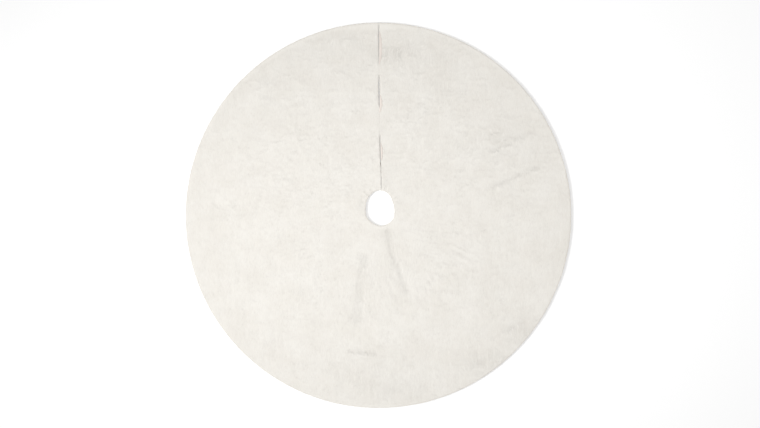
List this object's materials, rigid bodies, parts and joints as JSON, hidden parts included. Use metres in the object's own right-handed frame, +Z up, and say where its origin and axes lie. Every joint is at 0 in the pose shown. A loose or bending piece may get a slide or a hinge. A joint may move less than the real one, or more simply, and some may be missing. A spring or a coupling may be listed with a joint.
{
  "type": "tree skirt",
  "caption": "Round ivory plush tree skirt lying flat, with an oval trunk hole, a slit from the hole to the rim and hook-and-loop tabs that close the slit from below.",
  "frame": {"origin": "on the floor under the middle of the skirt's outline", "axes": "+Z up through the skirt's thickness, +Y from the middle along the slit to the rim, +X to the side that the closure tabs are sewn to"},
  "size_m": [1.22, 1.22, 0.012],
  "materials": {
    "ivory_plush": "matte",
    "cream_lining": "matte",
    "cream_webbing": "matte",
    "hook_tape": "satin",
    "loop_tape": "matte",
    "white_satin": "satin"
  },
  "bodies": {
    "front_right": {"fur_front_right": "ivory_plush", "lining_front_right": "cream_lining"},
    "back_right": {"fur_back_right": "ivory_plush", "lining_back_right": "cream_lining", "tab_anchor_1": "cream_webbing", "tab_anchor_2": "cream_webbing", "tab_anchor_3": "cream_webbing"},
    "front_left": {"fur_front_left": "ivory_plush", "lining_front_left": "cream_lining"},
    "back_left": {"fur_back_left": "ivory_plush", "lining_back_left": "cream_lining", "care_label": "white_satin", "loop_pad_1": "loop_tape", "loop_pad_2": "loop_tape", "loop_pad_3": "loop_tape"},
    "tab_1": {"hook_tab_1": "cream_webbing", "hook_pad_1": "hook_tape"},
    "tab_2": {"hook_tab_2": "cream_webbing", "hook_pad_2": "hook_tape"},
    "tab_3": {"hook_tab_3": "cream_webbing", "hook_pad_3": "hook_tape"}
  },
  "joints": [
    {"name": "back_fold_right", "type": "hinge", "parent": "front_right", "child": "back_right", "pos_m": [0, 0, 0.0125], "axis": [1, 0, 0], "range_deg": [0, 179.9]},
    {"name": "half_fold", "type": "hinge", "parent": "front_right", "child": "front_left", "pos_m": [0, 0, 0.027], "axis": [0, 1, 0], "range_deg": [0, 179.9]},
    {"name": "back_fold_left", "type": "hinge", "parent": "front_left", "child": "back_left", "pos_m": [0, 0, 0.0125], "axis": [1, 0, 0], "range_deg": [0, 179.9]},
    {"name": "tab_1_peel", "type": "hinge", "parent": "back_right", "child": "tab_1", "pos_m": [-0.00415, 0.15, 0], "axis": [0, -1, 0], "range_deg": [0, 179.9]},
    {"name": "tab_2_peel", "type": "hinge", "parent": "back_right", "child": "tab_2", "pos_m": [-0.00415, 0.305, 0], "axis": [0, -1, 0], "range_deg": [0, 179.9]},
    {"name": "tab_3_peel", "type": "hinge", "parent": "back_right", "child": "tab_3", "pos_m": [-0.00415, 0.46, 0], "axis": [0, -1, 0], "range_deg": [0, 179.9]}
  ],
  "couplings": [
    {"joint": "back_fold_left", "follows": "back_fold_right", "ratio": 1}
  ]
}
